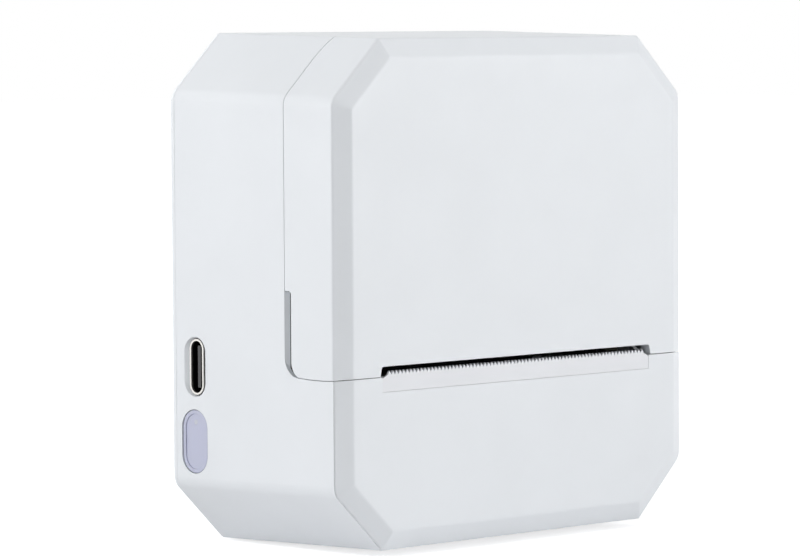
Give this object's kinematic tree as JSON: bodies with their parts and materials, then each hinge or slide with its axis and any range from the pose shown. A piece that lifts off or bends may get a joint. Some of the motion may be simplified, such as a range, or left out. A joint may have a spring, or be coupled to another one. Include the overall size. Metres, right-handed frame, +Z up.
{
  "type": "thermal label printer",
  "caption": "Desktop thermal label printer in a white octagonal case, with a lid that swings up over a roll bin, a paper slot with a tear bar, a power key and a USB-C socket.",
  "frame": {"origin": "on the surface that the feet stand on, midway between the sides and between front and back", "axes": "+X to the right seen from the front, -Y towards the front face with the paper slot, +Z up"},
  "size_m": [0.0808, 0.039, 0.0821],
  "materials": {
    "white_case": "fine satin",
    "white_strip": "satin",
    "key_lilac": "translucent satin",
    "light_pipe": "clear",
    "frame_black": "matte",
    "bin_grey": "matte",
    "guide_grey": "satin",
    "gear_ivory": "satin",
    "bushing_tan": "satin",
    "platen_black": "ground",
    "foot_rubber": "matte",
    "steel": "brushed",
    "socket_steel": "drawn",
    "screw_steel": "zinc",
    "heat_sink": "milled",
    "head_glaze": "glazed",
    "cable_film": "film",
    "board_green": "solder mask",
    "chip_black": "moulded",
    "cell_foil": "foil"
  },
  "bodies": {
    "case": {"battery_pack": "cell_foil", "board_chips": "chip_black", "board_screws": "screw_steel", "case_screws": "screw_steel", "frame_screws": "screw_steel", "gap_sensor": "frame_black", "head_pivot_rod": "steel", "head_ribbon_cable": "cable_film", "head_spring": "steel", "hinge_pins": "steel", "idler_stud": "steel", "key_switch": "frame_black", "lid_switch": "frame_black", "lower_front_panel": "white_case", "main_board": "board_green", "main_housing": "white_case", "print_frame": "frame_black", "rear_cover": "white_case", "roll_bin": "bin_grey", "rubber_feet": "foot_rubber", "stepper_motor": "steel", "tear_bar": "white_strip", "usb_shell": "socket_steel", "usb_tongue": "frame_black"},
    "lid": {"lid": "white_case", "platen_cradle": "frame_black", "platen_bushings": "bushing_tan", "cradle_screws": "screw_steel"},
    "platen": {"platen_shaft": "steel", "platen_rubber": "platen_black", "platen_gear": "gear_ivory"},
    "idler": {"idler_gear": "gear_ivory"},
    "motor_rotor": {"motor_shaft": "steel", "motor_pinion": "gear_ivory"},
    "head": {"head_bracket": "heat_sink", "print_head": "head_glaze"},
    "button": {"power_button": "key_lilac", "status_light": "light_pipe"},
    "left_guide": {"left_roll_guide": "guide_grey", "left_guide_rack": "guide_grey"},
    "right_guide": {"right_roll_guide": "guide_grey", "right_guide_rack": "guide_grey"},
    "guide_gear": {"guide_pinion": "gear_ivory"}
  },
  "joints": [
    {"name": "lid_hinge", "type": "hinge", "parent": "case", "child": "lid", "pos_m": [0, -0.01475, 0.07776], "axis": [-1, 0, 0], "range_deg": [0, 90]},
    {"name": "platen_spin", "type": "hinge", "parent": "lid", "child": "platen", "pos_m": [0, -0.01215, 0.03446], "axis": [1, 0, 0], "continuous": true},
    {"name": "idler_spin", "type": "hinge", "parent": "case", "child": "idler", "pos_m": [0.035, -0.00188, 0.03228], "axis": [1, 0, 0], "continuous": true},
    {"name": "motor_spin", "type": "hinge", "parent": "case", "child": "motor_rotor", "pos_m": [0.035, 0.00449, 0.02591], "axis": [1, 0, 0], "continuous": true},
    {"name": "head_float", "type": "hinge", "parent": "case", "child": "head", "pos_m": [0, -0.00445, 0.03006], "axis": [-1, 0, 0], "range_deg": [0, 2], "stiffness_Nm_per_rad": 0.3, "springref_deg": -2.86, "deforming": ["head_spring", "head_ribbon_cable"]},
    {"name": "button_press", "type": "slide", "parent": "case", "child": "button", "axis": [1, 0, 0], "range_m": [0, 0.0006], "stiffness_N_per_m": 800, "springref_m": -0.0004},
    {"name": "left_guide_slide", "type": "slide", "parent": "case", "child": "left_guide", "axis": [1, 0, 0], "range_m": [0, 0.014]},
    {"name": "right_guide_slide", "type": "slide", "parent": "case", "child": "right_guide", "axis": [1, 0, 0], "range_m": [-0.014, 0]},
    {"name": "guide_pinion_spin", "type": "hinge", "parent": "case", "child": "guide_gear", "pos_m": [0, 0.00625, 0.03776], "axis": [0, 0, 1], "range_deg": [0, 202]}
  ],
  "couplings": [
    {"joint": "idler_spin", "follows": "platen_spin", "ratio": -0.75},
    {"joint": "motor_spin", "follows": "platen_spin", "ratio": 1.5},
    {"joint": "right_guide_slide", "follows": "left_guide_slide", "ratio": -1},
    {"joint": "guide_pinion_spin", "follows": "left_guide_slide", "rad_per_m": 250}
  ]
}
